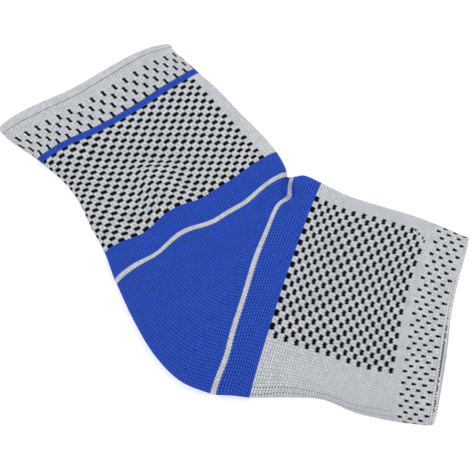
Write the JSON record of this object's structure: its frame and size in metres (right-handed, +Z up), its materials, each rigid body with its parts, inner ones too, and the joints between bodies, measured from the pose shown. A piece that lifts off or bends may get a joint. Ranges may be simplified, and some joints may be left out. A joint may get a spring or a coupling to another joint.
{
  "type": "knitted ankle brace",
  "caption": "Pull-on knitted ankle brace lying on its side: a flattened elastic sleeve bent at the ankle, open at the leg and toe ends, with a blue heel and checked panels.",
  "frame": {"origin": "middle of the bounding box in plan, on the surface that the brace lies on", "axes": "+X towards the toe opening, +Y towards the leg opening, +Z up from the surface it lies on"},
  "size_m": [0.2356, 0.202, 0.0242],
  "materials": {
    "light_knit": "light grey elastic knit with near-black charted checks and dashes, matt",
    "blue_knit": "royal blue elastic knit, matt",
    "stripe_knit": "pale grey elastic knit stripe, matt"
  },
  "bodies": {
    "root": {"cuff_hem": "light_knit", "cuff_band": "light_knit", "cuff_stripe": "blue_knit", "leg_sleeve": "light_knit", "upper_ankle_band": "blue_knit", "upper_stripe": "stripe_knit", "heel_pocket": "blue_knit", "lower_stripe": "stripe_knit", "lower_ankle_band": "blue_knit", "foot_sleeve": "light_knit", "toe_band": "light_knit", "toe_hem": "light_knit"}
  },
  "joints": []
}
